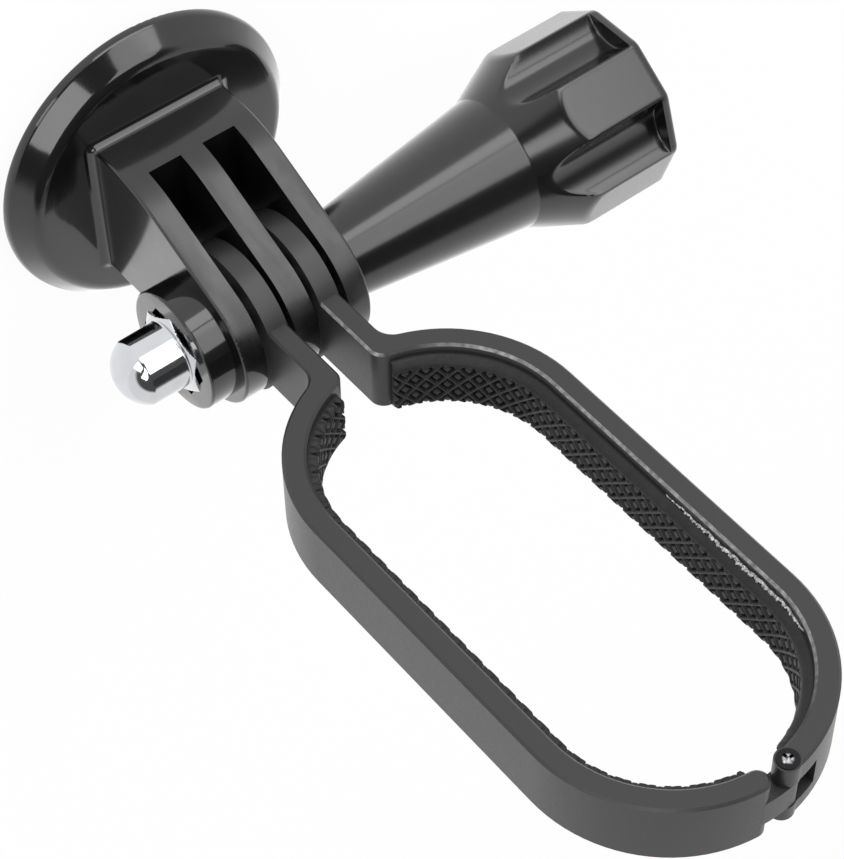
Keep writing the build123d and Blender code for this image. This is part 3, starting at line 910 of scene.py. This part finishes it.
class MESH_OT_ring_mount_base(bpy.types.Operator):
    """Disc, fork and nut boss in one moulding"""

    bl_idname = "mesh.ring_mount_base"
    bl_label = "Disc base and fork"

    def execute(self, context):
        skin = smooth_copy("disc_base", gloss_plastic(settings()[1].gloss_black))
        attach(skin, "base")
        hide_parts("disc_base")
        return {"FINISHED"}


class MESH_OT_ring_mount_pad(bpy.types.Operator):
    """Adhesive pad under the disc"""

    bl_idname = "mesh.ring_mount_pad"
    bl_label = "Adhesive pad"

    def execute(self, context):
        skin = smooth_copy("adhesive_pad", pad_foam(settings()[1].foam))
        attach(skin, "base")
        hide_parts("adhesive_pad")
        return {"FINISHED"}


class MESH_OT_ring_mount_nut(bpy.types.Operator):
    """Chromed cap nut"""

    bl_idname = "mesh.ring_mount_nut"
    bl_label = "Cap nut"

    def execute(self, context):
        sizes, colours = settings()
        nut = cap_nut(sizes, chrome_plate(colours.chrome))
        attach(nut, "base")
        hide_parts("cap_nut")
        return {"FINISHED"}


class MESH_OT_ring_mount_bolt(bpy.types.Operator):
    """Steel stud of the thumb screw"""

    bl_idname = "mesh.ring_mount_bolt"
    bl_label = "Thumb bolt"

    def execute(self, context):
        skin = smooth_copy("thumb_bolt", turned_steel(settings()[1].steel))
        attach(skin, "bolt")
        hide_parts("thumb_bolt")
        return {"FINISHED"}


class MESH_OT_ring_mount_knob(bpy.types.Operator):
    """Long lobed thumb knob"""

    bl_idname = "mesh.ring_mount_knob"
    bl_label = "Thumb knob"

    def execute(self, context):
        sizes, colours = settings()
        knob = thumb_knob(sizes, satin_plastic(colours.gloss_black))
        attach(knob, "knob")
        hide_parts("thumb_knob")
        return {"FINISHED"}


class MESH_OT_ring_mount_arms(bpy.types.Operator):
    """Both half rings with their legs and eyes"""

    bl_idname = "mesh.ring_mount_arms"
    bl_label = "Ring arms"

    def execute(self, context):
        material = anodised(settings()[1].anodised_black)
        for side in ("left", "right"):
            skin = smooth_copy("clamp_arm_" + side, material)
            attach(skin, "clamp_" + side)
            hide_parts("clamp_arm_" + side)
        return {"FINISHED"}


class MESH_OT_ring_mount_liners(bpy.types.Operator):
    """Knurled rubber liners"""

    bl_idname = "mesh.ring_mount_liners"
    bl_label = "Knurled liners"

    def execute(self, context):
        sizes, colours = settings()
        tree, material = knurl_tree(), rubber(colours.rubber_black)
        for side in ("right", "left"):
            liner = knurled_liner(side, tree, sizes, material)
            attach(liner, "clamp_" + side)
            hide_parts("liner_" + side)
        return {"FINISHED"}


class MESH_OT_ring_mount_screw(bpy.types.Operator):
    """Small hinge screw with a cross recess"""

    bl_idname = "mesh.ring_mount_screw"
    bl_label = "Hinge screw"

    def execute(self, context):
        skin = smooth_copy("hinge_screw", recessed_screw(settings()[1].steel))
        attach(skin, "clamp_right")
        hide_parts("hinge_screw")
        return {"FINISHED"}


class VIEW3D_PT_ring_mount(bpy.types.Panel):
    """Lists the pieces, their sizes and their colours"""

    bl_label = "Ring Mount"
    bl_idname = "VIEW3D_PT_ring_mount"
    bl_space_type = "VIEW_3D"
    bl_region_type = "UI"
    bl_category = "Ring Mount"

    def draw(self, context):
        for operator in OPERATORS:
            self.layout.operator(operator.bl_idname)
        for group in (context.scene.ring_mount_sizes, context.scene.ring_mount_colours):
            for name in group.__annotations__:
                self.layout.prop(group, name)


OPERATORS = (
    MESH_OT_ring_mount_stage, MESH_OT_ring_mount_base, MESH_OT_ring_mount_pad, MESH_OT_ring_mount_nut,
    MESH_OT_ring_mount_bolt, MESH_OT_ring_mount_knob, MESH_OT_ring_mount_arms, MESH_OT_ring_mount_liners,
    MESH_OT_ring_mount_screw)
CLASSES = (RingMountSizes, RingMountColours) + OPERATORS + (VIEW3D_PT_ring_mount,)


def register():
    for cls in CLASSES:
        bpy.utils.register_class(cls)
    bpy.types.Scene.ring_mount_sizes = PointerProperty(type=RingMountSizes)
    bpy.types.Scene.ring_mount_colours = PointerProperty(type=RingMountColours)


def unregister():
    del bpy.types.Scene.ring_mount_colours
    del bpy.types.Scene.ring_mount_sizes
    for cls in reversed(CLASSES):
        bpy.utils.unregister_class(cls)


def main():
    """Builds every piece."""
    register()
    for operator in OPERATORS:
        group, name = operator.bl_idname.split(".")
        getattr(getattr(bpy.ops, group), name)()


if __name__ == "__main__":
    main()
